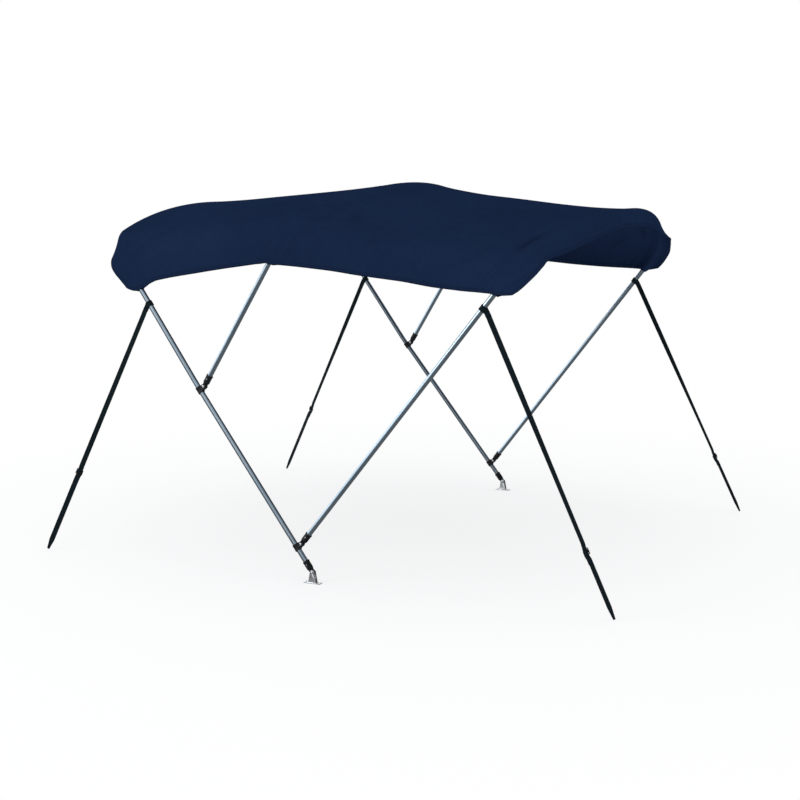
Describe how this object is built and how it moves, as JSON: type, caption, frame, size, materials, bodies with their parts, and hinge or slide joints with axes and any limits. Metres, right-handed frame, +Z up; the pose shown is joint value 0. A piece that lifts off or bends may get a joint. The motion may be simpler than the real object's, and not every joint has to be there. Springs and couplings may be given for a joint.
{
  "type": "boat bimini top with its tube bow frame",
  "caption": "Navy cloth boat sunshade stretched over a folding frame of bent aluminium bows, with webbing hold-down straps and deck hinges.",
  "frame": {"origin": "middle of the footprint, at the height of the deck", "axes": "+Z up, +X from the main bow's crown towards the front bow's crown, +Y across the boat"},
  "size_m": [2.2742, 1.855, 1.4098],
  "materials": {
    "canopy_cloth": "matt woven",
    "pocket_cloth": "matt woven",
    "bow_tube": "anodised satin",
    "stainless": "polished",
    "nylon": "moulded",
    "webbing": "woven tape"
  },
  "bodies": {
    "root": {"adjuster_front_far": "nylon", "adjuster_front_near": "nylon", "adjuster_rear_far": "nylon", "adjuster_rear_near": "nylon", "bolt_foot_far": "stainless", "bolt_foot_near": "stainless", "bolt_front_far": "stainless", "bolt_front_near": "stainless", "bolt_middle_far": "stainless", "bolt_middle_near": "stainless", "bow_front": "bow_tube", "bow_main": "bow_tube", "bow_middle": "bow_tube", "canopy": "canopy_cloth", "deck_hinge_far": "stainless", "deck_hinge_near": "stainless", "eye_foot_far": "nylon", "eye_foot_near": "nylon", "eye_front_far": "nylon", "eye_front_near": "nylon", "eye_middle_far": "nylon", "eye_middle_near": "nylon", "pocket_front": "pocket_cloth", "pocket_middle": "pocket_cloth", "pocket_rear": "pocket_cloth", "set_screw_foot_far": "stainless", "set_screw_foot_near": "stainless", "set_screw_front_far": "stainless", "set_screw_front_near": "stainless", "set_screw_middle_far": "stainless", "set_screw_middle_near": "stainless", "slide_front_far": "nylon", "slide_front_near": "nylon", "slide_middle_far": "nylon", "slide_middle_near": "nylon", "strap_front_far": "webbing", "strap_front_near": "webbing", "strap_rear_far": "webbing", "strap_rear_near": "webbing"}
  },
  "joints": []
}
